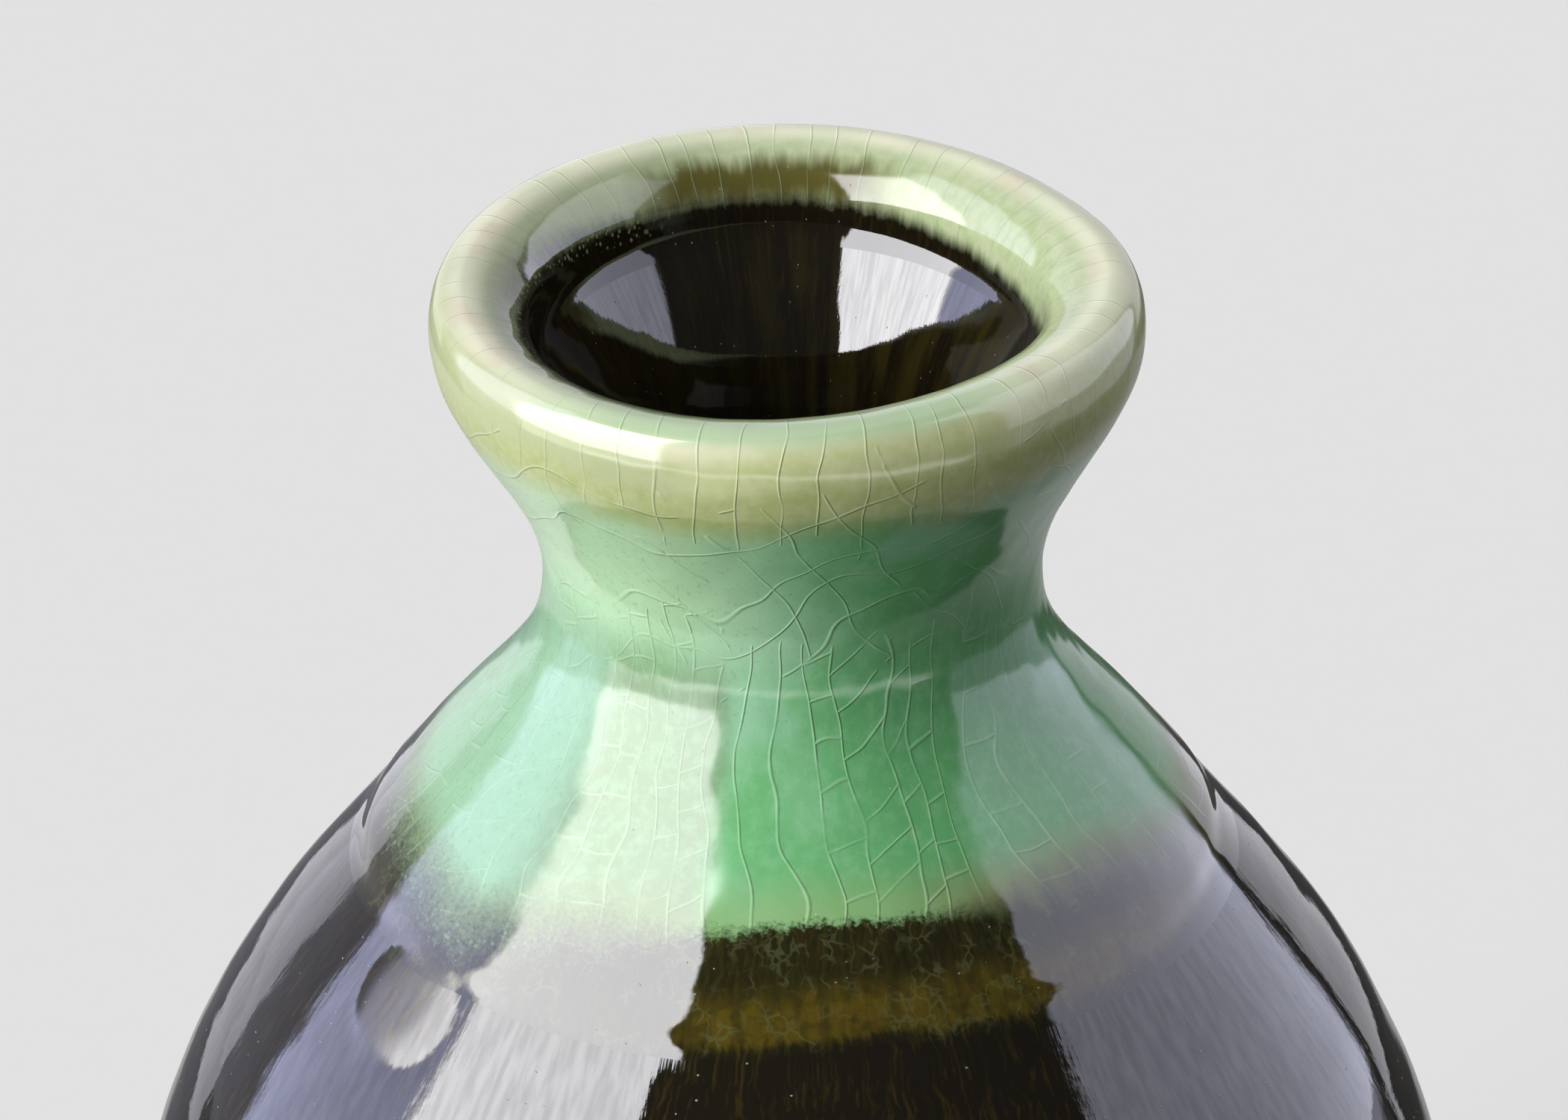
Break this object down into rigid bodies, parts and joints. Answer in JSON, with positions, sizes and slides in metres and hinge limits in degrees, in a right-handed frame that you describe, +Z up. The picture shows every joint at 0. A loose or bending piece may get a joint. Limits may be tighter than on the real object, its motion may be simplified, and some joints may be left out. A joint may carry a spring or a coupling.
{
  "type": "sake bottle",
  "caption": "Tokkuri sake bottle: a turned stoneware body with round belly, cone shoulder, narrow neck and flared mouth, under dark iron glaze and a green crackle glaze above.",
  "frame": {"origin": "centre of the foot ring, on the surface that the bottle stands on", "axes": "+Z up along the bottle's turning axis; -Y is the front, where the mouth sits a little low and is nudged out on the left and in on the right"},
  "size_m": [0.08, 0.08, 0.132],
  "materials": {
    "stoneware": "bare fired stoneware, matt, with a fine grit",
    "iron_glaze": "dark brown to black iron glaze, glossy, with faint streaks and pinpoint bubbles",
    "green_glaze": "green crackle glaze, glossy, tan where it is thin on the lip"
  },
  "bodies": {
    "root": {"clay_body": "stoneware", "outer_iron_glaze": "iron_glaze", "inner_iron_glaze": "iron_glaze", "green_glaze": "green_glaze"}
  },
  "joints": []
}
